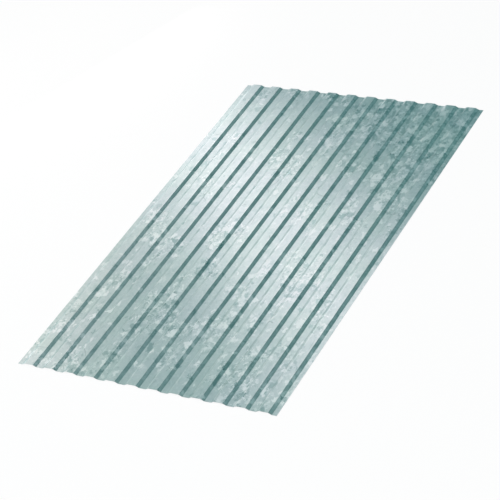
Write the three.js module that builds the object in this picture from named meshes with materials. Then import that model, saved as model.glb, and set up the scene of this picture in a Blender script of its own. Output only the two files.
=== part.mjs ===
// Profiled steel sheet: one strip of zinc-coated steel, roll-formed into shallow trapezoidal ribs that
// run its whole length, with a flat lip along each long edge.
//
// Frame: +X across the ribs, +Y along them, +Z up. X = 0 and Y = 0 are the middle of the sheet, and
// Z = 0 is the underside of the pans, the flats between the ribs that the sheet lies on.
// Sizes are in millimetres.

import * as THREE from "three";

// The strip
const sheetLength = 2000;
const sheetThickness = 0.5;

// The ribs
const ribCount = 12;
const ribRise = 8; // from the top of a pan to the top of a crown
const crownWidth = 40; // flat top of a rib, between the bend lines
const panWidth = 30; // flat between two ribs, between the bend lines
const flankRun = 14.5; // how far a rib's sloping side reaches sideways
const edgeLip = 21; // flat outside the last rib, along each long edge

// The bends
const insideBendRadius = 2.5;
const bendDivisions = 2; // three.js takes two facets for each division of an arc

const zincCoating = new THREE.MeshStandardMaterial({ color: 0xb7c4c3, roughness: 0.42, metalness: 0.85 });

const ribPitch = crownWidth + panWidth + 2 * flankRun;
const sheetWidth = ribCount * ribPitch - panWidth + 2 * edgeLip;
const flankAngle = Math.atan2(ribRise, flankRun);

// Radius of the strip's middle surface in a bend, kept short enough for two bends to share a flat or a flank.
const flankLength = Math.hypot(ribRise, flankRun);
const shortestStraight = Math.min(flankLength, crownWidth, panWidth, 2 * edgeLip);
const bendTangent = Math.tan(flankAngle / 2);
const middleRadius = Math.min(insideBendRadius + sheetThickness / 2, 0.49 * shortestStraight / bendTangent);

// Each rib has four bend lines. A valley bend turns the strip upwards or back to level round a centre
// above it, and a crown bend turns it round a centre below it.
function ribBends(crownCentre) {
  const panLevel = sheetThickness / 2;
  const crownLevel = panLevel + ribRise;
  const setBack = middleRadius * bendTangent;
  const crownEdge = crownWidth / 2;
  const ribFoot = crownEdge + flankRun;
  return [
    { x: crownCentre - ribFoot - setBack, z: panLevel + middleRadius, side: 1, from: 0, to: flankAngle },
    { x: crownCentre - crownEdge + setBack, z: crownLevel - middleRadius, side: -1, from: flankAngle, to: 0 },
    { x: crownCentre + crownEdge - setBack, z: crownLevel - middleRadius, side: -1, from: 0, to: -flankAngle },
    { x: crownCentre + ribFoot + setBack, z: panLevel + middleRadius, side: 1, from: -flankAngle, to: 0 },
  ];
}

// Runs round one bend of the outline, on the strip's upper face (offset +) or lower face (offset -).
// A bend's angles are the strip's slopes where it starts and ends, and side is 1 where its centre lies above.
function addBend(outline, bend, offset, forwards) {
  const radius = middleRadius - bend.side * offset;
  const quarterTurn = -bend.side * Math.PI / 2;
  const startAngle = quarterTurn + (forwards ? bend.from : bend.to);
  const endAngle = quarterTurn + (forwards ? bend.to : bend.from);
  outline.absarc(bend.x, bend.z, radius, startAngle, endAngle, endAngle < startAngle);
}

function profileOutline() {
  const bends = [];
  for (let rib = 0; rib < ribCount; rib += 1) {
    bends.push(...ribBends((rib - (ribCount - 1) / 2) * ribPitch));
  }
  const outline = new THREE.Shape();
  outline.moveTo(-sheetWidth / 2, 0);
  outline.lineTo(-sheetWidth / 2, sheetThickness);
  for (const bend of bends) {
    addBend(outline, bend, sheetThickness / 2, true);
  }
  outline.lineTo(sheetWidth / 2, sheetThickness);
  outline.lineTo(sheetWidth / 2, 0);
  for (const bend of bends.reverse()) {
    addBend(outline, bend, -sheetThickness / 2, false);
  }
  outline.closePath();
  return outline;
}

const sheetBody = new THREE.ExtrudeGeometry(profileOutline(), {
  depth: sheetLength,
  steps: 1,
  curveSegments: bendDivisions,
  bevelEnabled: false,
});

const profiledSheet = new THREE.Mesh(sheetBody, zincCoating);
profiledSheet.name = "profiled_sheet";
profiledSheet.rotation.x = Math.PI / 2;
profiledSheet.position.y = sheetLength / 2;

const sheet = new THREE.Group();
sheet.add(profiledSheet);

export default sheet;
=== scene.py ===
import math

import bpy
from mathutils import Matrix, Vector


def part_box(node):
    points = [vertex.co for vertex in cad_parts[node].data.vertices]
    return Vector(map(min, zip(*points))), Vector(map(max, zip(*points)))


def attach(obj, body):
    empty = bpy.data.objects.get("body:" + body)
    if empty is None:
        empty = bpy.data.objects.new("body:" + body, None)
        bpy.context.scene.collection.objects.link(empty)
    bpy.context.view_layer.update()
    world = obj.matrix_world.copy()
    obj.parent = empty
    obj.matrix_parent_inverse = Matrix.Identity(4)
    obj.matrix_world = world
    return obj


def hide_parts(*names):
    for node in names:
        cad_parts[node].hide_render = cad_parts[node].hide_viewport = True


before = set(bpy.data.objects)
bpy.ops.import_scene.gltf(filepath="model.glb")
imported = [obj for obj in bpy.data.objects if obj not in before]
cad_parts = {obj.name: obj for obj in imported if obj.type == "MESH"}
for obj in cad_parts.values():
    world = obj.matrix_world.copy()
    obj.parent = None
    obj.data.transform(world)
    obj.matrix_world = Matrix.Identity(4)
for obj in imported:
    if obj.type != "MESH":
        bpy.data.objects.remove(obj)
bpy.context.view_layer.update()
sheetLow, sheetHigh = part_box("profiled_sheet")
print("frame loaded, sheet box", tuple(sheetLow), tuple(sheetHigh))


# --- camera

cameraSettings = {
    "lens": 139.0,  # mm on the sensor width below
    "sensorWidth": 36.0,
    "location": (3.966, -5.256, 4.739),
    "aim": (0.017, -0.127, 0.004),
    "roll": math.radians(-15.6),  # turns the view about its own line of sight
    "clipEnd": 400.0,
}


def placeCamera(settings):
    data = bpy.data.cameras.new("productCamera")
    data.lens = settings["lens"]
    data.sensor_width = settings["sensorWidth"]
    data.clip_end = settings["clipEnd"]
    camera = bpy.data.objects.new("productCamera", data)
    bpy.context.scene.collection.objects.link(camera)
    location = Vector(settings["location"])
    forwards = Vector(settings["aim"]) - location
    turn = forwards.to_track_quat("-Z", "Y").to_matrix().to_4x4()
    roll = Matrix.Rotation(settings["roll"], 4, "Z")
    camera.matrix_world = Matrix.Translation(location) @ turn @ roll
    bpy.context.scene.camera = camera


placeCamera(cameraSettings)
print("camera placed")


# --- helpers for node trees, used by the shape and the finishes

def feed(tree, socket, value):
    if isinstance(value, bpy.types.NodeSocket):
        tree.links.new(value, socket)
    else:
        socket.default_value = value


def addNode(tree, kind, inputs=None, **settings):
    node = tree.nodes.new(kind)
    for name, value in settings.items():
        setattr(node, name, value)
    for name, value in (inputs or {}).items():
        feed(tree, node.inputs[name], value)
    return node


def calc(tree, operation, *values, clamp=False):
    node = addNode(tree, "ShaderNodeMath", operation=operation, use_clamp=clamp)
    for socket, value in zip(node.inputs, values):
        feed(tree, socket, value)
    return node.outputs[0]


def vectorCalc(tree, operation, first, second=(0, 0, 0), scale=None):
    node = addNode(tree, "ShaderNodeVectorMath", {0: first, 1: second}, operation=operation)
    if scale is not None:
        feed(tree, node.inputs["Scale"], scale)
    return node.outputs["Value" if operation == "DOT_PRODUCT" else "Vector"]


def addSockets(tree, inOut, sockets):
    for name, (kind, value) in sockets.items():
        socket = tree.interface.new_socket(name, in_out=inOut, socket_type=kind)
        if value is not None:
            socket.default_value = value


# --- the sheet's shape

sheetSettings = {
    "ribCount": 12,
    "ribPitch": 0.099,
    "crownWidth": 0.040,
    "flankRun": 0.0145,
    "thickness": 0.0005,
    "bendRadius": 0.00275,  # middle of the metal
    "bendSegments": 10,
    "sharpFrom": math.radians(40),  # an edge turning more than this stays crisp
    "flatDivisions": 3,
    "lengthDivisions": 40,
    "rippleHeight": 0.00010,  # the flats are never quite flat after rolling
    "rippleWidth": 0.075,
    "rippleLength": 0.26,
    "weldDistance": 1e-6,
}


def half(tree, value):
    return calc(tree, "DIVIDE", value, 2)


def positionParts(tree):
    where = addNode(tree, "GeometryNodeInputPosition").outputs[0]
    return addNode(tree, "ShaderNodeSeparateXYZ", {0: where}).outputs


def sheetSection(tree, given):
    # bend lines across the sheet: one lip edge, four for each rib, the other lip edge
    bend = calc(tree, "SUBTRACT", addNode(tree, "GeometryNodeInputIndex").outputs[0], 1)
    rib = calc(tree, "FLOOR", calc(tree, "DIVIDE", bend, 4))
    inRib = calc(tree, "SUBTRACT", bend, calc(tree, "MULTIPLY", rib, 4))
    corner = calc(tree, "SUBTRACT", inRib, 1.5)  # below 0 on a rib's left, above on its right
    lastRib = calc(tree, "SUBTRACT", given["Rib Count"], 1)
    fromMiddle = calc(tree, "SUBTRACT", rib, half(tree, lastRib))
    ribCentre = calc(tree, "MULTIPLY", fromMiddle, given["Rib Pitch"])
    isFoot = calc(tree, "GREATER_THAN", calc(tree, "ABSOLUTE", corner), 1)
    flankRun = calc(tree, "MULTIPLY", isFoot, given["Flank Run"])
    reach = calc(tree, "ADD", half(tree, given["Crown Width"]), flankRun)
    across = calc(tree, "ADD", ribCentre, calc(tree, "MULTIPLY", calc(tree, "SIGN", corner), reach))
    halfWidth = half(tree, given["Sheet Width"])
    lipEdge = calc(tree, "MULTIPLY", halfWidth, -1)
    across = calc(tree, "MINIMUM", calc(tree, "MAXIMUM", across, lipEdge), halfWidth)
    lift = calc(tree, "MULTIPLY", calc(tree, "SUBTRACT", 1, isFoot), given["Rib Rise"])
    upwards = calc(tree, "ADD", lift, half(tree, given["Thickness"]))
    sectionY = calc(tree, "MULTIPLY", upwards, -1)  # a section's own Y hangs down once drawn along +Y
    bendLines = calc(tree, "ADD", calc(tree, "MULTIPLY", given["Rib Count"], 4), 2)
    points = addNode(tree, "GeometryNodeMeshLine", {"Count": bendLines})
    place = addNode(tree, "ShaderNodeCombineXYZ", {"X": across, "Y": sectionY})
    points = addNode(tree, "GeometryNodeSetPosition", {
        "Geometry": points.outputs[0], "Position": place.outputs[0]})
    section = addNode(tree, "GeometryNodeMeshToCurve", {"Mesh": points.outputs[0]})
    section = addNode(tree, "GeometryNodeSubdivideCurve", {
        "Curve": section.outputs[0], "Cuts": given["Flat Divisions"]})
    section = addNode(tree, "GeometryNodeFilletCurve", {
        "Curve": section.outputs[0], "Radius": given["Bend Radius"], "Limit Radius": True,
        "Count": given["Bend Segments"]}, mode="POLY")
    return section.outputs[0]


def drawnSkin(tree, given, section):
    # the section is drawn along the sheet's length
    halfLength = half(tree, given["Sheet Length"])
    farEnd = addNode(tree, "ShaderNodeCombineXYZ", {"Y": halfLength})
    nearEnd = addNode(tree, "ShaderNodeCombineXYZ", {"Y": calc(tree, "MULTIPLY", halfLength, -1)})
    path = addNode(tree, "GeometryNodeCurvePrimitiveLine", {
        "Start": nearEnd.outputs[0], "End": farEnd.outputs[0]})
    stations = calc(tree, "ADD", given["Length Divisions"], 1)
    path = addNode(tree, "GeometryNodeResampleCurve", {"Curve": path.outputs[0], "Count": stations})
    skin = addNode(tree, "GeometryNodeCurveToMesh", {
        "Curve": path.outputs[0], "Profile Curve": section})
    skin = addNode(tree, "GeometryNodeMergeByDistance", {
        "Geometry": skin.outputs[0], "Distance": sheetSettings["weldDistance"]})

    # long shallow ripples, upwards only so that the pans stay on the floor
    apart = positionParts(tree)
    stretched = addNode(tree, "ShaderNodeCombineXYZ", {
        "X": calc(tree, "DIVIDE", apart["X"], given["Ripple Width"]),
        "Y": calc(tree, "DIVIDE", apart["Y"], given["Ripple Length"])})
    noise = addNode(tree, "ShaderNodeTexNoise", {
        "Vector": stretched.outputs[0], "Scale": 1, "Detail": 1.5})
    ripple = calc(tree, "MULTIPLY", noise.outputs[0], given["Ripple Height"])
    raised = addNode(tree, "ShaderNodeCombineXYZ", {"Z": ripple})
    skin = addNode(tree, "GeometryNodeSetPosition", {
        "Geometry": skin.outputs[0], "Offset": raised.outputs[0]})
    return skin.outputs[0]


def withPlaces(tree, given, skin):
    # where a point lay on the flat coil, and how far it is from the middle of its rib
    apart = positionParts(tree)
    squares = [calc(tree, "POWER", given[side], 2) for side in ("Flank Run", "Rib Rise")]
    slant = calc(tree, "SQRT", calc(tree, "ADD", *squares))
    gain = calc(tree, "SUBTRACT", slant, given["Flank Run"])  # a flank is this much longer than its run
    pitches = calc(tree, "DIVIDE", apart["X"], given["Rib Pitch"])
    lastRib = calc(tree, "SUBTRACT", given["Rib Count"], 1)
    ribHere = calc(tree, "ROUND", calc(tree, "ADD", pitches, half(tree, lastRib)))
    ribHere = calc(tree, "MINIMUM", calc(tree, "MAXIMUM", ribHere, 0), lastRib)
    ribNumber = calc(tree, "SUBTRACT", ribHere, half(tree, lastRib))
    fromRib = calc(tree, "SUBTRACT", apart["X"], calc(tree, "MULTIPLY", ribNumber, given["Rib Pitch"]))
    ribReach = calc(tree, "ABSOLUTE", fromRib)
    pastCrown = calc(tree, "SUBTRACT", ribReach, half(tree, given["Crown Width"]))
    downFlank = calc(tree, "DIVIDE", pastCrown, given["Flank Run"], clamp=True)
    gained = calc(tree, "MULTIPLY", calc(tree, "SIGN", fromRib), calc(tree, "MULTIPLY", downFlank, gain))
    flanksPassed = calc(tree, "MULTIPLY", ribNumber, 2)
    gained = calc(tree, "ADD", gained, calc(tree, "MULTIPLY", flanksPassed, gain))
    unrolled = addNode(tree, "ShaderNodeCombineXYZ", {
        "X": calc(tree, "ADD", apart["X"], gained), "Y": apart["Y"]})
    skin = addNode(tree, "GeometryNodeStoreNamedAttribute", {
        "Geometry": skin, "Name": "unrolled", "Value": unrolled.outputs[0]},
        data_type="FLOAT2", domain="CORNER")
    skin = addNode(tree, "GeometryNodeStoreNamedAttribute", {
        "Geometry": skin.outputs[0], "Name": "ribReach", "Value": ribReach},
        data_type="FLOAT", domain="POINT")
    return skin.outputs[0]


def thickened(tree, given, skin):
    # thickness, half to each side of the middle
    normal = addNode(tree, "GeometryNodeInputNormal").outputs[0]
    depth = calc(tree, "MULTIPLY", half(tree, given["Thickness"]), -1)
    down = vectorCalc(tree, "SCALE", normal, scale=depth)
    lower = addNode(tree, "GeometryNodeSetPosition", {"Geometry": skin, "Offset": down})
    upper = addNode(tree, "GeometryNodeExtrudeMesh", {
        "Mesh": lower.outputs[0], "Offset": normal, "Offset Scale": given["Thickness"],
        "Individual": False})
    edges = addNode(tree, "GeometryNodeSetMaterial", {
        "Geometry": upper.outputs["Mesh"], "Material": given["Edge Finish"]})
    top = addNode(tree, "GeometryNodeSetMaterial", {
        "Geometry": edges.outputs[0], "Selection": upper.outputs["Top"],
        "Material": given["Top Finish"]})
    underside = addNode(tree, "GeometryNodeFlipFaces", {"Mesh": lower.outputs[0]})
    underside = addNode(tree, "GeometryNodeSetMaterial", {
        "Geometry": underside.outputs[0], "Material": given["Underside Finish"]})
    joined = addNode(tree, "GeometryNodeJoinGeometry")
    for part in (underside, top):
        tree.links.new(part.outputs[0], joined.inputs[0])
    body = addNode(tree, "GeometryNodeMergeByDistance", {
        "Geometry": joined.outputs[0], "Distance": sheetSettings["weldDistance"]})
    body = addNode(tree, "GeometryNodeSetShadeSmooth", {
        "Geometry": body.outputs[0], "Shade Smooth": True})
    return body.outputs[0]


def ribbedSheetTree():
    tree = bpy.data.node_groups.new("ribbedSheet", "GeometryNodeTree")
    addSockets(tree, "INPUT", {
        "Geometry": ("NodeSocketGeometry", None),
        "Rib Count": ("NodeSocketInt", 12),
        "Rib Pitch": ("NodeSocketFloat", 0.1),
        "Crown Width": ("NodeSocketFloat", 0.04),
        "Flank Run": ("NodeSocketFloat", 0.015),
        "Rib Rise": ("NodeSocketFloat", 0.008),
        "Thickness": ("NodeSocketFloat", 0.0005),
        "Sheet Width": ("NodeSocketFloat", 1.2),
        "Sheet Length": ("NodeSocketFloat", 2.0),
        "Bend Radius": ("NodeSocketFloat", 0.003),
        "Bend Segments": ("NodeSocketInt", 6),
        "Flat Divisions": ("NodeSocketInt", 3),
        "Length Divisions": ("NodeSocketInt", 60),
        "Ripple Height": ("NodeSocketFloat", 0.0002),
        "Ripple Width": ("NodeSocketFloat", 0.08),
        "Ripple Length": ("NodeSocketFloat", 0.3),
        "Top Finish": ("NodeSocketMaterial", None),
        "Underside Finish": ("NodeSocketMaterial", None),
        "Edge Finish": ("NodeSocketMaterial", None),
    })
    addSockets(tree, "OUTPUT", {"Geometry": ("NodeSocketGeometry", None)})
    given = addNode(tree, "NodeGroupInput").outputs
    skin = drawnSkin(tree, given, sheetSection(tree, given))
    body = thickened(tree, given, withPlaces(tree, given, skin))
    whole = addNode(tree, "GeometryNodeRealizeInstances", {"Geometry": body})
    last = addNode(tree, "NodeGroupOutput")
    tree.links.new(whole.outputs[0], last.inputs[0])
    return tree


def socketId(tree, name):
    inputs = (item for item in tree.interface.items_tree if item.in_out == "INPUT")
    return next(item.identifier for item in inputs if item.name == name)


def makeSheet(settings, finishes):
    size = sheetHigh - sheetLow
    tree = ribbedSheetTree()
    blank = bpy.data.objects.new("sheetRule", bpy.data.meshes.new("sheetRule"))
    bpy.context.scene.collection.objects.link(blank)
    modifier = blank.modifiers.new("ribbedSheet", "NODES")
    modifier.node_group = tree
    values = {
        "Rib Count": settings["ribCount"],
        "Rib Pitch": settings["ribPitch"],
        "Crown Width": settings["crownWidth"],
        "Flank Run": settings["flankRun"],
        "Rib Rise": size.z - settings["thickness"],
        "Thickness": settings["thickness"],
        "Sheet Width": size.x,
        "Sheet Length": size.y,
        "Bend Radius": settings["bendRadius"],
        "Bend Segments": settings["bendSegments"],
        "Flat Divisions": settings["flatDivisions"],
        "Length Divisions": settings["lengthDivisions"],
        "Ripple Height": settings["rippleHeight"],
        "Ripple Width": settings["rippleWidth"],
        "Ripple Length": settings["rippleLength"],
        **finishes,
    }
    for name, value in values.items():
        modifier[socketId(tree, name)] = value
    depsgraph = bpy.context.evaluated_depsgraph_get()
    mesh = bpy.data.meshes.new_from_object(blank.evaluated_get(depsgraph), depsgraph=depsgraph)
    bpy.data.objects.remove(blank)
    mesh.set_sharp_from_angle(angle=settings["sharpFrom"])
    sheet = bpy.data.objects.new("ribbed_steel_sheet", mesh)
    bpy.context.scene.collection.objects.link(sheet)
    return sheet


# --- finishes: effects shared by the materials are shader groups that work in metres

def startGroup(name, inputs, outputs):
    tree = bpy.data.node_groups.new(name, "ShaderNodeTree")
    addSockets(tree, "INPUT", inputs)
    addSockets(tree, "OUTPUT", outputs)
    return tree, addNode(tree, "NodeGroupInput").outputs, addNode(tree, "NodeGroupOutput").inputs


def noise2d(tree, vector, scale, detail, roughness=0.5):
    return addNode(tree, "ShaderNodeTexNoise", {
        "Vector": vector, "Scale": scale, "Detail": detail, "Roughness": roughness},
        noise_dimensions="2D").outputs[0]


def cells2d(tree, vector, scale, feature="F1"):
    return addNode(tree, "ShaderNodeTexVoronoi", {"Vector": vector, "Scale": scale},
                   voronoi_dimensions="2D", feature=feature).outputs


def shifted(tree, vector, seed, along=(37.1, 11.7, 0)):
    # the same pattern from another place, so that no two layers line up
    return vectorCalc(tree, "ADD", vector, vectorCalc(tree, "SCALE", along, scale=seed))


def warped(tree, vector, size, amount, detail=3.0):
    # pushes a pattern about by a share of its own size
    noise = addNode(tree, "ShaderNodeTexNoise", {
        "Vector": vector, "Scale": calc(tree, "DIVIDE", 1.6, size), "Detail": detail,
        "Roughness": 0.62}, noise_dimensions="2D")
    centred = vectorCalc(tree, "SUBTRACT", noise.outputs["Color"], (0.5, 0.5, 0.5))
    push = vectorCalc(tree, "SCALE", centred, scale=calc(tree, "MULTIPLY", size, amount))
    return vectorCalc(tree, "ADD", vector, push)


def ramp(tree, value, start, end, low=0.0, high=1.0):
    node = addNode(tree, "ShaderNodeMapRange", {
        "Value": value, "From Min": start, "From Max": end, "To Min": low, "To Max": high},
        interpolation_type="SMOOTHSTEP")
    return node.outputs["Result"]


def turnedScaled(tree, vector, angle, across, along):
    # turns a pattern about Z, then gives its two directions their own sizes
    turned = addNode(tree, "ShaderNodeVectorRotate", {"Vector": vector, "Angle": angle},
                     rotation_type="Z_AXIS")
    parts = addNode(tree, "ShaderNodeSeparateXYZ", {0: turned.outputs[0]}).outputs
    return addNode(tree, "ShaderNodeCombineXYZ", {
        "X": calc(tree, "DIVIDE", parts["X"], across),
        "Y": calc(tree, "DIVIDE", parts["Y"], along)}).outputs[0]


def zincCrystals():
    tree, given, result = startGroup("zincCrystals", {
        "Vector": ("NodeSocketVector", None),
        "Crystal Size": ("NodeSocketFloat", 0.03),
        "Warp": ("NodeSocketFloat", 0.5),
        "Seed": ("NodeSocketFloat", 0.0),
    }, {
        "Tone": ("NodeSocketFloat", None),  # one grey for each crystal
        "Feather": ("NodeSocketFloat", None),  # fern streaks that run one way in each crystal
        "Border": ("NodeSocketFloat", None),
        "Tilt": ("NodeSocketVector", None),
    })
    place = shifted(tree, given["Vector"], given["Seed"])
    place = warped(tree, place, given["Crystal Size"], given["Warp"])
    density = calc(tree, "DIVIDE", 1, given["Crystal Size"])
    cells = cells2d(tree, place, density)
    borders = cells2d(tree, place, density, "DISTANCE_TO_EDGE")
    chance = addNode(tree, "ShaderNodeSeparateColor", {0: cells["Color"]}).outputs
    local = vectorCalc(tree, "SUBTRACT", place, cells["Position"])
    streakWidth, streakLength = 0.07, 0.45  # of a crystal's size
    streaks = turnedScaled(tree, local, calc(tree, "MULTIPLY", chance["Red"], math.pi),
                           calc(tree, "MULTIPLY", given["Crystal Size"], streakWidth),
                           calc(tree, "MULTIPLY", given["Crystal Size"], streakLength))
    feather = noise2d(tree, shifted(tree, streaks, chance["Green"]), scale=1, detail=2)
    feed(tree, result["Tone"], chance["Green"])
    feed(tree, result["Feather"], feather)
    feed(tree, result["Border"], ramp(tree, borders["Distance"], 0.0, 0.06, 1.0, 0.0))
    lean = addNode(tree, "ShaderNodeCombineXYZ", {
        "X": calc(tree, "SUBTRACT", chance["Blue"], 0.5),
        "Y": calc(tree, "SUBTRACT", chance["Red"], 0.5)})
    feed(tree, result["Tilt"], lean.outputs[0])
    return tree


def zincPatches():
    # small crisp-edged cells that take their grey from a broader pattern, so that they form islands
    tree, given, result = startGroup("zincPatches", {
        "Vector": ("NodeSocketVector", None),
        "Cell Size": ("NodeSocketFloat", 0.01),
        "Patch Size": ("NodeSocketFloat", 0.04),
        "Angle": ("NodeSocketFloat", 0.0),
        "Stretch": ("NodeSocketFloat", 1.5),
        "Ragged": ("NodeSocketFloat", 0.8),
        "Seed": ("NodeSocketFloat", 0.0),
    }, {
        "Level": ("NodeSocketFloat", None),
        "Chance": ("NodeSocketFloat", None),
    })
    place = turnedScaled(tree, shifted(tree, given["Vector"], given["Seed"]), given["Angle"], 1,
                         given["Stretch"])
    place = warped(tree, place, given["Cell Size"], given["Ragged"], detail=4.0)
    cells = cells2d(tree, place, calc(tree, "DIVIDE", 1, given["Cell Size"]))
    density = calc(tree, "DIVIDE", 1, given["Patch Size"])
    level = noise2d(tree, cells["Position"], density, detail=2, roughness=0.55)
    chance = addNode(tree, "ShaderNodeSeparateColor", {0: cells["Color"]}).outputs
    feed(tree, result["Level"], level)
    feed(tree, result["Chance"], chance["Red"])
    return tree


def zincFlakes():
    # angular cells with clean torn edges; the palest and the darkest of them stand out
    tree, given, result = startGroup("zincFlakes", {
        "Vector": ("NodeSocketVector", None),
        "Flake Size": ("NodeSocketFloat", 0.036),
        "Angle": ("NodeSocketFloat", 0.0),
        "Stretch": ("NodeSocketFloat", 1.4),
        "Ragged": ("NodeSocketFloat", 0.9),
        "Pale Share": ("NodeSocketFloat", 0.08),
        "Dark Share": ("NodeSocketFloat", 0.05),
        "Seed": ("NodeSocketFloat", 0.0),
    }, {
        "Pale": ("NodeSocketFloat", None),
        "Dark": ("NodeSocketFloat", None),
        "Tone": ("NodeSocketFloat", None),
    })
    place = turnedScaled(tree, shifted(tree, given["Vector"], given["Seed"]), given["Angle"], 1,
                         given["Stretch"])
    place = warped(tree, place, given["Flake Size"], given["Ragged"])
    cells = cells2d(tree, place, calc(tree, "DIVIDE", 1, given["Flake Size"]))
    chance = addNode(tree, "ShaderNodeSeparateColor", {0: cells["Color"]}).outputs
    faintest = 0.3  # some flakes stand out more than others
    strength = calc(tree, "MULTIPLY_ADD", chance["Green"], 1 - faintest, faintest)
    for name, rank, share in (("Pale", calc(tree, "SUBTRACT", 1, chance["Red"]), "Pale Share"),
                              ("Dark", chance["Red"], "Dark Share")):
        chosen = calc(tree, "LESS_THAN", rank, given[share])
        feed(tree, result[name], calc(tree, "MULTIPLY", chosen, strength))
    feed(tree, result["Tone"], chance["Red"])
    return tree


def rollGrain():
    tree, given, result = startGroup("rollGrain", {
        "Vector": ("NodeSocketVector", None),
        "Across": ("NodeSocketFloat", 0.004),
        "Along": ("NodeSocketFloat", 0.02),
        "Angle": ("NodeSocketFloat", 0.0),
        "Detail": ("NodeSocketFloat", 3.0),
        "Seed": ("NodeSocketFloat", 0.0),
    }, {"Grain": ("NodeSocketFloat", None)})
    place = turnedScaled(tree, shifted(tree, given["Vector"], given["Seed"]), given["Angle"],
                         given["Across"], given["Along"])
    grain = noise2d(tree, place, scale=1, detail=given["Detail"], roughness=0.6)
    feed(tree, result["Grain"], grain)
    return tree


def brokenLine(tree, line, noise, share, highest, lowest, softness):
    # keeps a line where the noise is high; the more of it is to be there, the lower the bar
    bar = calc(tree, "SUBTRACT", highest, calc(tree, "MULTIPLY", share, highest - lowest))
    kept = ramp(tree, calc(tree, "SUBTRACT", noise, bar), 0.0, softness)
    return calc(tree, "MULTIPLY", line, kept)


def thinVeins():
    # short bent hairlines: the level lines of a noise, most of them left out
    tree, given, result = startGroup("thinVeins", {
        "Vector": ("NodeSocketVector", None),
        "Size": ("NodeSocketFloat", 0.03),
        "Width": ("NodeSocketFloat", 0.001),
        "Share": ("NodeSocketFloat", 0.2),
        "Seed": ("NodeSocketFloat", 0.0),
    }, {"Vein": ("NodeSocketFloat", None)})
    place = shifted(tree, given["Vector"], given["Seed"])
    density = calc(tree, "DIVIDE", 1, given["Size"])
    level = noise2d(tree, place, density, detail=3)
    away = calc(tree, "ABSOLUTE", calc(tree, "SUBTRACT", level, 0.5))
    widths = calc(tree, "DIVIDE", away, calc(tree, "DIVIDE", given["Width"], given["Size"]))
    line = ramp(tree, widths, 0.2, 0.6, 1.0, 0.0)
    some = noise2d(tree, shifted(tree, place, 3), calc(tree, "MULTIPLY", density, 1.4), detail=1)
    kept = brokenLine(tree, line, some, given["Share"], highest=0.72, lowest=0.30, softness=0.05)
    feed(tree, result["Vein"], kept)
    return tree


def coilScratches():
    tree, given, result = startGroup("coilScratches", {
        "Vector": ("NodeSocketVector", None),
        "Spacing": ("NodeSocketFloat", 0.2),
        "Length": ("NodeSocketFloat", 0.6),
        "Width": ("NodeSocketFloat", 0.001),
        "Angle": ("NodeSocketFloat", 0.0),
        "Share": ("NodeSocketFloat", 0.3),  # how much of the lines is there
        "Seed": ("NodeSocketFloat", 0.0),
    }, {"Scratch": ("NodeSocketFloat", None)})
    place = shifted(tree, given["Vector"], given["Seed"])
    place = warped(tree, place, given["Spacing"], 0.35, detail=0.0)
    drawn = turnedScaled(tree, place, given["Angle"], given["Spacing"], given["Length"])
    cells = cells2d(tree, drawn, 1, "DISTANCE_TO_EDGE")
    reach = calc(tree, "DIVIDE", given["Width"], given["Spacing"])
    line = ramp(tree, calc(tree, "DIVIDE", cells["Distance"], reach), 0.35, 1.0, 1.0, 0.0)
    some = noise2d(tree, place, calc(tree, "DIVIDE", 2.3, given["Spacing"]), detail=2)
    kept = brokenLine(tree, line, some, given["Share"], highest=0.68, lowest=0.32, softness=0.06)
    feed(tree, result["Scratch"], kept)
    return tree


def bendMarks():
    # polish with a painted highlight along the crown's bends, and painted shade at the foot of each rib
    tree, given, result = startGroup("bendMarks", {
        "Vector": ("NodeSocketVector", None),
        "Rib Reach": ("NodeSocketFloat", 0.0),
        "Crown Bend": ("NodeSocketFloat", 0.02),
        "Foot Bend": ("NodeSocketFloat", 0.0345),
        "Polish And Highlight Width": ("NodeSocketFloat", 0.002),
        "Foot Shade Width": ("NodeSocketFloat", 0.003),
        "Patch Size": ("NodeSocketFloat", 0.12),
    }, {"Polish And Highlight": ("NodeSocketFloat", None), "Foot Shade": ("NodeSocketFloat", None)})
    patches = noise2d(tree, given["Vector"], calc(tree, "DIVIDE", 1, given["Patch Size"]), detail=4)
    faintest = 0.35
    for name, bend, start, end in (("Polish And Highlight", "Crown Bend", 0.35, 0.6), ("Foot Shade", "Foot Bend", 0.62, 0.38)):
        away = calc(tree, "ABSOLUTE", calc(tree, "SUBTRACT", given["Rib Reach"], given[bend]))
        near = ramp(tree, calc(tree, "DIVIDE", away, given[name + " Width"]), 0.0, 1.0, 1.0, 0.0)
        some = calc(tree, "MULTIPLY", ramp(tree, patches, start, end), 1 - faintest)
        feed(tree, result[name], calc(tree, "MULTIPLY", near, calc(tree, "ADD", faintest, some)))
    return tree


groups = {make.__name__: make() for make in (
    zincCrystals, zincPatches, zincFlakes, rollGrain, thinVeins, coilScratches, bendMarks)}


def addGroup(tree, name, inputs):
    node = tree.nodes.new("ShaderNodeGroup")
    node.node_tree = groups[name]
    for socket, value in inputs.items():
        feed(tree, node.inputs[socket], value)
    return node.outputs


def weighed(tree, start, masks, weights):
    # adds up masks, each with its own weight around its own mean
    total = start
    for name, weight in weights.items():
        mask, mean = masks[name]
        share = calc(tree, "MULTIPLY", calc(tree, "SUBTRACT", mask, mean), weight)
        total = calc(tree, "ADD", total, share)
    return total


def mixColours(tree, factor, first, second, blend="MIX"):
    node = addNode(tree, "ShaderNodeMix", data_type="RGBA", blend_type=blend, clamp_factor=True)
    feed(tree, node.inputs["Factor"], factor)
    for index, colour in ((6, first), (7, second)):  # its two colour sockets
        feed(tree, node.inputs[index], colour if isinstance(colour, bpy.types.NodeSocket) else (*colour, 1))
    return node.outputs[2]


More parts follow.
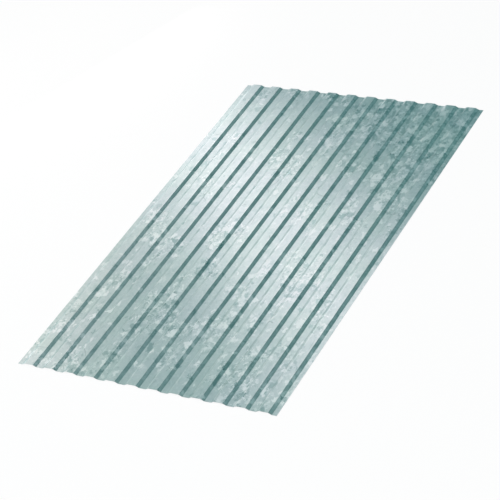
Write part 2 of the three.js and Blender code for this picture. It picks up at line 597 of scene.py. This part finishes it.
topSettings = {
    "darkZinc": (0.378, 0.52, 0.515),
    "paleZinc": (0.792, 0.86, 0.855),
    "greenCast": (0.98, 1.0, 0.985),
    "blueCast": (1.0, 0.995, 1.005),
    "scratchColour": (0.324, 0.44, 0.44),
    # painted shade colour for the foot of each rib
    "dustColour": (0.405, 0.50, 0.49),
    "seed": 0.0,
    "tilt": 0.006,  # how far the crystals' faces lean
    "roughness": 0.35,
    "metal": 0.9857,
    "grainHeight": 0.00002,
}

undersideSettings = {
    **topSettings,
    "darkZinc": (0.36, 0.47, 0.47),
    "paleZinc": (0.702, 0.79, 0.79),
    "seed": 4.0,
    "roughness": 0.40,
}

patternLean = math.radians(-15)  # the pattern runs along the sheet, a little to one side

# what the top and the underside share; the number is a step on from the side's own seed
zincLayers = {
    "crystals": ("zincCrystals", 0, {"Crystal Size": 0.032, "Warp": 0.55}),
    "chips": ("zincPatches", 2, {
        "Cell Size": 0.0072, "Patch Size": 0.022, "Angle": patternLean, "Stretch": 1.5, "Ragged": 1.1}),
    "mottle": ("rollGrain", 5, {"Across": 0.045, "Along": 0.070, "Angle": patternLean, "Detail": 3}),
    "streaks": ("rollGrain", 6, {"Across": 0.003, "Along": 0.14, "Angle": 0, "Detail": 2}),
    "scratches": ("coilScratches", 7, {
        "Spacing": 0.16, "Length": 0.30, "Width": 0.0016, "Angle": math.radians(35), "Share": 0.35}),
    "paleVeins": ("thinVeins", 9, {"Size": 0.026, "Width": 0.0028, "Share": 0.48}),
    "darkVeins": ("thinVeins", 10, {"Size": 0.034, "Width": 0.0022, "Share": 0.40}),
}

# torn flakes in two sizes; a share is that of the calmest metal, then what the liveliest has more
flakeLayers = {
    "wide": {"seed": 11, "size": 0.030, "stretch": 1.3, "ragged": 1.7,
             "Pale Share": (0.02, 0.08), "Dark Share": (0.005, 0.04)},
    "narrow": {"seed": 12, "size": 0.017, "stretch": 1.4, "ragged": 1.5,
               "Pale Share": (0.02, 0.145), "Dark Share": (0.012, 0.095)},
}

regionSettings = {
    "seed": 10.5,
    "across": 0.17,  # size of a lively or a calm part of the coil
    "along": 0.28,
    "calmBand": -0.05,  # what a calm band that slants over the middle takes off
    # the livelier sides of that band: the way there, how far off it starts, and what each metre adds
    "livelySides": (((0.74, 0.68, 0), 0.30, 0.30), ((0, -1, 0), 0.30, 0.09)),
    "calmWay": (-0.5, 0.86, 0),  # towards the calmer far left corner
    "calmFrom": (0.55, 1.0),
    "calmDrop": 0.09,
    "livelyFrom": (0.455, 0.665),
    "rareWay": (0.75, -0.66, 0),  # towards the near right corner, where wide flakes are rare
    "rareFrom": (0.15, 0.55),
    "rareShare": 0.3,
}

markSettings = {
    "middleTone": 0.5,
    "chipFrom": (0.63, 0.65),  # a patch paler than this is a chip
    "speckFrom": (0.365, 0.345),  # and one darker than this is a speck
    "fineFrom": (0.2, 0.9),  # the fine marks grow with how lively the metal is
    "fineShare": (0.28, 1.06),
    "crownTone": 0.02,  # crowns are paler than pans
    "panTone": -0.07,
    "flankEdge": (0.0075, 0.0065),  # where a rib's side ends, from its middle
    "creasePlace": 0.0062,  # a painted shade line just inside each bend, from the same middle
    "creaseEdge": (0.0018, 0.0006),
    "polishHighlightInset": 0.002,  # the polished line with its painted highlight is this far inside the bend
    "polishHighlightWidth": 0.003,
    "footShadeWidth": 0.0014,
    "shadeAndHighlightPatch": 0.12,  # size of a patch with more or less painted shade at the foot and polish with painted highlight on the crown
    "driftSeed": 8,  # the slow drift between the green and the blue cast
    "driftScale": 4.5,
    "driftFrom": (0.35, 0.65),
    "scratchShare": 0.55,
    # how far the painted shade at each rib's foot goes towards its colour
    "dustShare": 0.2,
}

# a mask that isn't named here is counted from 0
maskMeans = {
    "chip": 0.07, "speck": 0.07, "chipLevel": 0.5, "chipChance": 0.5, "paleVein": 0.04, "darkVein": 0.03,
    "widePale": 0.05, "wideDark": 0.03, "wideTone": 0.5,
    "narrowPale": 0.065, "narrowDark": 0.04, "narrowTone": 0.5,
    "mottle": 0.5, "streak": 0.5, "crystal": 0.5, "feather": 0.5,
}

# what each mask adds; "fine" and "flank" are parts of the tone between dark and pale zinc
maskWeights = {
    "fine": {"speck": -0.36, "chipLevel": 0.07, "chipChance": 0.05, "chip": 0.32, "paleVein": 0.50,
             "darkVein": -0.40},
    "flank": {"wideTone": 0.22, "narrowTone": 0.26, "widePale": 0.20},
    # the darker line inside each bend is painted shade, and the line along the crown's bends a painted
    # highlight
    "tone": {"crease": -0.38, "widePale": 0.60, "wideDark": -0.55, "narrowPale": 0.56, "narrowDark": -0.46,
             "wideTone": 0.05, "narrowTone": 0.05, "mottle": 0.03, "streak": 0.05, "polish": 0.14},
    # the foot of each rib, under its painted shade, is also rougher and less metallic
    "roughness": {"widePale": 0.08, "narrowPale": 0.08, "wideDark": -0.05, "narrowDark": -0.05,
                  "crystal": 0.03, "chipChance": 0.03, "polish": -0.04, "scratch": 0.08, "dust": 0.06},
    "metal": {"widePale": -0.06, "chip": -0.05, "wideDark": 0.02, "dust": -0.12, "scratch": -0.1},
    "height": {"feather": 0.5, "mottle": 0.6, "border": 0.3, "chipChance": 0.3, "scratch": -0.8},
}


def livelyParts(tree, flat, seed, settings):
    # some parts of the coil are lively and some are calm
    place = turnedScaled(tree, shifted(tree, flat, seed + settings["seed"]), patternLean,
                         settings["across"], settings["along"])
    aside = settings["calmBand"]
    for way, start, gain in settings["livelySides"]:
        far = calc(tree, "SUBTRACT", vectorCalc(tree, "DOT_PRODUCT", flat, way), start)
        aside = calc(tree, "MAXIMUM", aside, calc(tree, "MULTIPLY", far, gain))
    corner = vectorCalc(tree, "DOT_PRODUCT", flat, settings["calmWay"])
    calmer = ramp(tree, corner, *settings["calmFrom"], 0.0, settings["calmDrop"])
    lively = calc(tree, "ADD", noise2d(tree, place, scale=1, detail=3, roughness=0.55), aside)
    return ramp(tree, calc(tree, "SUBTRACT", lively, calmer), *settings["livelyFrom"])


def addFlakes(tree, flat, seed, lively, layer):
    shares = {name: calc(tree, "MULTIPLY_ADD", lively, layer[name][1], layer[name][0])
              for name in ("Pale Share", "Dark Share")}
    return addGroup(tree, "zincFlakes", {
        "Vector": flat, "Flake Size": layer["size"], "Angle": patternLean, "Stretch": layer["stretch"],
        "Ragged": layer["ragged"], "Seed": seed + layer["seed"], **shares})


def zincMasks(tree, flat, reach, seed, marks):
    # every mark on the metal by its name, and how lively the metal is
    layers = {name: addGroup(tree, group, {"Vector": flat, "Seed": seed + step, **sizes})
              for name, (group, step, sizes) in zincLayers.items()}
    crownEdge = sheetSettings["crownWidth"] / 2
    # polish with a painted highlight on the crown's bends, and painted shade at each rib's foot
    bends = addGroup(tree, "bendMarks", {
        "Vector": flat, "Rib Reach": reach, "Crown Bend": crownEdge - marks["polishHighlightInset"],
        "Foot Bend": crownEdge + sheetSettings["flankRun"], "Polish And Highlight Width": marks["polishHighlightWidth"],
        "Foot Shade Width": marks["footShadeWidth"], "Patch Size": marks["shadeAndHighlightPatch"]})
    lively = livelyParts(tree, flat, seed, regionSettings)
    side = vectorCalc(tree, "DOT_PRODUCT", flat, regionSettings["rareWay"])
    common = ramp(tree, side, *regionSettings["rareFrom"], 1.0, regionSettings["rareShare"])
    wide = addFlakes(tree, flat, seed, calc(tree, "MULTIPLY", lively, common), flakeLayers["wide"])
    narrow = addFlakes(tree, flat, seed, lively, flakeLayers["narrow"])
    fromFlank = calc(tree, "SUBTRACT", reach, crownEdge + sheetSettings["flankRun"] / 2)
    fromFlank = calc(tree, "ABSOLUTE", fromFlank)
    fromCrease = calc(tree, "ABSOLUTE", calc(tree, "SUBTRACT", fromFlank, marks["creasePlace"]))
    chips = layers["chips"]
    masks = {
        "chip": ramp(tree, chips["Level"], *marks["chipFrom"]),
        "speck": ramp(tree, chips["Level"], *marks["speckFrom"]),
        "chipLevel": chips["Level"],
        "chipChance": chips["Chance"],
        "paleVein": layers["paleVeins"]["Vein"],
        "darkVein": layers["darkVeins"]["Vein"],
        "widePale": wide["Pale"],
        "wideDark": wide["Dark"],
        "wideTone": wide["Tone"],
        "narrowPale": narrow["Pale"],
        "narrowDark": narrow["Dark"],
        "narrowTone": narrow["Tone"],
        "mottle": layers["mottle"]["Grain"],
        "streak": layers["streaks"]["Grain"],
        "scratch": layers["scratches"]["Scratch"],
        "crystal": layers["crystals"]["Tone"],
        "feather": layers["crystals"]["Feather"],
        "border": layers["crystals"]["Border"],
        # a painted shade line just inside each bend
        "crease": ramp(tree, fromCrease, *marks["creaseEdge"]),
        "onFlank": ramp(tree, fromFlank, *marks["flankEdge"]),
        # polish with a painted highlight, and painted shade at each rib's foot
        "polish": bends["Polish And Highlight"],
        "dust": bends["Foot Shade"],
    }
    masks = {name: (mask, maskMeans.get(name, 0)) for name, mask in masks.items()}
    return masks, lively, layers["crystals"]["Tilt"]


def zincTone(tree, masks, lively, reach, marks):
    # 0 is dark zinc and 1 is pale
    fine = ramp(tree, lively, *marks["fineFrom"], *marks["fineShare"])
    mottled = weighed(tree, 0.0, masks, maskWeights["fine"])
    opened = weighed(tree, 0.0, masks, maskWeights["flank"])  # flakes show more on the ribs' sides
    tone = calc(tree, "ADD", marks["middleTone"], calc(tree, "MULTIPLY", mottled, fine))
    tone = calc(tree, "ADD", tone, calc(tree, "MULTIPLY", opened, masks["onFlank"][0]))
    tone = weighed(tree, tone, masks, maskWeights["tone"])
    crownEdge = sheetSettings["crownWidth"] / 2
    # crowns paler than pans, passing from one to the other over the flanks
    crownToPan = ramp(tree, reach, crownEdge, crownEdge + sheetSettings["flankRun"],
                  marks["crownTone"], marks["panTone"])
    return calc(tree, "ADD", tone, crownToPan)


def zincFinish(name, settings, marks):
    material = bpy.data.materials.new(name)
    material.use_nodes = True
    tree = material.node_tree
    shader = tree.nodes["Principled BSDF"]
    flat = addNode(tree, "ShaderNodeUVMap", uv_map="unrolled").outputs[0]
    reach = addNode(tree, "ShaderNodeAttribute", attribute_name="ribReach",
                    attribute_type="GEOMETRY").outputs["Fac"]
    masks, lively, lean = zincMasks(tree, flat, reach, settings["seed"], marks)

    tone = zincTone(tree, masks, lively, reach, marks)
    colour = mixColours(tree, tone, settings["darkZinc"], settings["paleZinc"])
    drift = shifted(tree, flat, settings["seed"] + marks["driftSeed"])
    drift = ramp(tree, noise2d(tree, drift, marks["driftScale"], detail=2), *marks["driftFrom"])
    cast = mixColours(tree, drift, settings["greenCast"], settings["blueCast"])
    colour = mixColours(tree, 1.0, colour, cast, blend="MULTIPLY")
    # the painted shade at each rib's foot is mixed in by colour, as the scratches are
    for mark in ("scratch", "dust"):
        share = calc(tree, "MULTIPLY", masks[mark][0], marks[mark + "Share"])
        colour = mixColours(tree, share, colour, settings[mark + "Colour"])
    feed(tree, shader.inputs["Base Color"], colour)
    roughness = weighed(tree, settings["roughness"], masks, maskWeights["roughness"])
    feed(tree, shader.inputs["Roughness"], roughness)
    metal = weighed(tree, settings["metal"], masks, maskWeights["metal"])
    feed(tree, shader.inputs["Metallic"], calc(tree, "MINIMUM", metal, 1.0))

    facing = addNode(tree, "ShaderNodeNewGeometry").outputs["Normal"]
    tilt = vectorCalc(tree, "SCALE", lean, scale=settings["tilt"])
    leaning = vectorCalc(tree, "NORMALIZE", vectorCalc(tree, "ADD", facing, tilt))
    bump = addNode(tree, "ShaderNodeBump", {
        "Strength": 1, "Distance": settings["grainHeight"], "Normal": leaning,
        "Height": weighed(tree, 0.0, masks, maskWeights["height"])})
    feed(tree, shader.inputs["Normal"], bump.outputs[0])
    return material


edgeSettings = {
    "brightSteel": (0.62, 0.64, 0.64),
    "tornSteel": (0.36, 0.37, 0.37),
    "lineScale": (4000, 4000, 300),  # fine lines that run up the edge
    "tornScale": 900,
    "roughness": 0.38,
    "lineHeight": 0.00002,
}


def shearedFinish(name, settings):
    # the cut edge: bright steel with fine upright lines and duller torn spots
    material = bpy.data.materials.new(name)
    material.use_nodes = True
    tree = material.node_tree
    shader = tree.nodes["Principled BSDF"]
    place = addNode(tree, "ShaderNodeTexCoord").outputs["Object"]
    drawn = vectorCalc(tree, "MULTIPLY", place, settings["lineScale"])
    lines = addNode(tree, "ShaderNodeTexNoise", {"Vector": drawn, "Scale": 1, "Detail": 3}).outputs[0]
    torn = addNode(tree, "ShaderNodeTexNoise", {
        "Vector": place, "Scale": settings["tornScale"], "Detail": 4}).outputs[0]
    masks = {"lines": (lines, 0.5), "torn": (torn, 0.5)}
    tone = weighed(tree, 0.45, masks, {"lines": 1.2, "torn": -1.0})
    colour = mixColours(tree, tone, settings["brightSteel"], settings["tornSteel"])
    feed(tree, shader.inputs["Base Color"], colour)
    feed(tree, shader.inputs["Roughness"], weighed(tree, settings["roughness"], masks, {"torn": 0.5}))
    shader.inputs["Metallic"].default_value = 1
    bump = addNode(tree, "ShaderNodeBump", {
        "Strength": 0.6, "Distance": settings["lineHeight"], "Height": lines})
    feed(tree, shader.inputs["Normal"], bump.outputs[0])
    return material


finishes = {
    "Top Finish": zincFinish("spangledZinc", topSettings, markSettings),
    "Underside Finish": zincFinish("undersideZinc", undersideSettings, markSettings),
    "Edge Finish": shearedFinish("shearedEdge", edgeSettings),
}
print("finishes made")
sheet = makeSheet(sheetSettings, finishes)
print("sheet made", len(sheet.data.vertices), "points", len(sheet.data.polygons), "faces")
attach(sheet, "root")
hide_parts("profiled_sheet")

# --- floor, surroundings and lamps

floorSettings = {
    "reach": 400.0,  # metres along each side
    "drop": 0.0001,
    "paleColour": (0.95, 0.95, 0.95),
    "glow": 0.92,  # how much of the seen floor is plain white, the rest takes the shadow
}


def makeFloor(settings):
    mesh = bpy.data.meshes.new("studioFloor")
    side = settings["reach"] / 2
    corners = [(-side, -side), (side, -side), (side, side), (-side, side)]
    mesh.from_pydata([(x, y, sheetLow.z - settings["drop"]) for x, y in corners], [], [(0, 1, 2, 3)])
    floor = bpy.data.objects.new("studioFloor", mesh)
    bpy.context.scene.collection.objects.link(floor)
    material = bpy.data.materials.new("paleFloor")
    material.use_nodes = True
    tree = material.node_tree
    tree.nodes.clear()
    plain = addNode(tree, "ShaderNodeBsdfDiffuse", {"Color": (*settings["paleColour"], 1)})
    white = addNode(tree, "ShaderNodeEmission", {"Color": (1, 1, 1, 1), "Strength": 1})
    ray = addNode(tree, "ShaderNodeLightPath").outputs
    seen = calc(tree, "MAXIMUM", ray["Is Camera Ray"], ray["Is Glossy Ray"])
    seen = calc(tree, "MAXIMUM", seen, ray["Is Transmission Ray"])
    share = calc(tree, "MULTIPLY", seen, settings["glow"])
    mixed = addNode(tree, "ShaderNodeMixShader", {0: share, 1: plain.outputs[0], 2: white.outputs[0]})
    addNode(tree, "ShaderNodeOutputMaterial", {"Surface": mixed.outputs[0]})
    mesh.materials.append(material)


roomSettings = {
    "horizonColour": (0.69, 0.65, 0.63),
    "cornerColour": (0.155, 0.33, 0.35),  # a darker corner of the room
    "upperColour": (0.17, 0.355, 0.36),
    "ceilingColour": (0.13, 0.255, 0.26),
    "cornerAzimuth": 50,  # turned left from +Y
    "cornerReach": (62, 18),  # from where it starts to darken to where it is darkest, degrees to each side
    "upperFrom": (0.12, 0.34),  # sines of the elevation between which one colour passes to the next
    "ceilingFrom": (0.55, 0.80),
}


def makeRoom(settings):
    world = bpy.data.worlds.new("paleRoom")
    bpy.context.scene.world = world
    world.use_nodes = True
    tree = world.node_tree
    tree.nodes.clear()
    direction = addNode(tree, "ShaderNodeTexCoord").outputs["Generated"]
    parts = addNode(tree, "ShaderNodeSeparateXYZ", {0: direction}).outputs
    level = vectorCalc(tree, "NORMALIZE", vectorCalc(tree, "MULTIPLY", direction, (1, 1, 0)))
    azimuth = math.radians(settings["cornerAzimuth"])
    towards = vectorCalc(tree, "DOT_PRODUCT", level, (-math.sin(azimuth), math.cos(azimuth), 0))
    cornerFrom = [math.cos(math.radians(angle)) for angle in settings["cornerReach"]]
    corner = ramp(tree, towards, *cornerFrom)
    colour = mixColours(tree, corner, settings["horizonColour"], settings["cornerColour"])
    for part in ("upper", "ceiling"):
        height = ramp(tree, parts["Z"], *settings[part + "From"])
        colour = mixColours(tree, height, colour, settings[part + "Colour"])
    shade = addNode(tree, "ShaderNodeBackground", {"Color": colour, "Strength": 1})
    addNode(tree, "ShaderNodeOutputWorld", {"Surface": shade.outputs[0]})


# azimuth is turned left from +Y, and strength is what a lamp's face shows
# each lamp faces the sheet's middle, or its own aim
lampSettings = {
    "stripBehindLeft": {"azimuth": 33.5, "elevation": 40.0, "distance": 3.9, "size": (0.75, 3.4), "turn": 25,
                        "strength": 1.54, "colour": (1.29, 1.0, 1.03)},
    "panelLeft": {"azimuth": 84.0, "elevation": 33.5, "distance": 2.3, "size": (2.6, 0.5), "turn": 17,
                  "strength": 1.05, "colour": (1.38, 1.0, 0.96)},
    "panelLeftLow": {"azimuth": 92.0, "elevation": 18.0, "distance": 4.0, "size": (3.2, 1.5), "turn": 0,
                     "strength": 1.36, "colour": (1.12, 1.0, 1.0)},
    "cardLeft": {"azimuth": 83.0, "elevation": 8.0, "distance": 2.5, "size": (1.4, 0.6), "turn": 0,
                 "strength": 0.45, "colour": (1.28, 1.0, 0.98)},
    "cardBehind": {"azimuth": 11.5, "elevation": 25.0, "distance": 3.9, "size": (0.9, 0.9), "turn": 0,
                   "strength": 0.12, "colour": (1.11, 1.0, 1.0)},
    "cardClose": {"azimuth": 53.0, "elevation": 6.3, "distance": 1.8, "size": (1.1, 0.35), "turn": 0,
                  "strength": 1.25, "colour": (1.2, 1.0, 1.02), "aim": (-0.3, 0.6, 0.0)},
    "cardFar": {"azimuth": 46.0, "elevation": 8.0, "distance": 4.5, "size": (1.5, 0.7), "turn": 0,
                "strength": 0.45, "colour": (1.2, 1.0, 1.0)},
    "softboxHighLeft": {"azimuth": 102.5, "elevation": 66.0, "distance": 5.0, "size": (3.9, 4.0), "turn": 5,
                        "strength": 1.01, "colour": (1.09, 1.0, 1.0)},
    "fillFrontRight": {"azimuth": -135, "elevation": 38, "distance": 4.5, "size": (2.9, 2.9), "turn": 0,
                       "strength": 0.86, "colour": (1.11, 1.0, 1.0)},
    "fillFrontLeft": {"azimuth": 150, "elevation": 32, "distance": 4.5, "size": (2.9, 2.9), "turn": 0,
                      "strength": 0.88, "colour": (1.11, 1.0, 1.0)},
    "fillFrontHigh": {"azimuth": -165, "elevation": 60, "distance": 5.0, "size": (4.2, 4.2), "turn": 0,
                      "strength": 1.04, "colour": (1.11, 1.0, 1.0)},
    "fillRight": {"azimuth": -70, "elevation": 35, "distance": 4.5, "size": (2.0, 2.0), "turn": 0,
                  "strength": 0.6, "colour": (1.06, 1.0, 1.0)},
}


def makeLamps(lamps):
    for name, lamp in lamps.items():
        azimuth, elevation = math.radians(lamp["azimuth"]), math.radians(lamp["elevation"])
        aside, ahead = -math.sin(azimuth) * math.cos(elevation), math.cos(azimuth) * math.cos(elevation)
        direction = Vector((aside, ahead, math.sin(elevation)))
        width, height = lamp["size"]
        data = bpy.data.lights.new(name, "AREA")
        data.shape = "RECTANGLE"
        data.size = width
        data.size_y = height
        data.color = lamp["colour"]
        data.energy = math.pi * width * height * lamp["strength"]
        location = direction * lamp["distance"]
        away = location - Vector(lamp.get("aim", (0, 0, 0)))
        facing = away.to_track_quat("Z", "Y").to_matrix().to_4x4()
        turned = facing @ Matrix.Rotation(math.radians(lamp["turn"]), 4, "Z")
        light = bpy.data.objects.new(name, data)
        light.matrix_world = Matrix.Translation(location) @ turned
        light.visible_camera = False
        bpy.context.scene.collection.objects.link(light)


makeFloor(floorSettings)
makeRoom(roomSettings)
makeLamps(lampSettings)
print("floor, room and", len(lampSettings), "lamps made")

bpy.context.scene.view_settings.view_transform = "Standard"
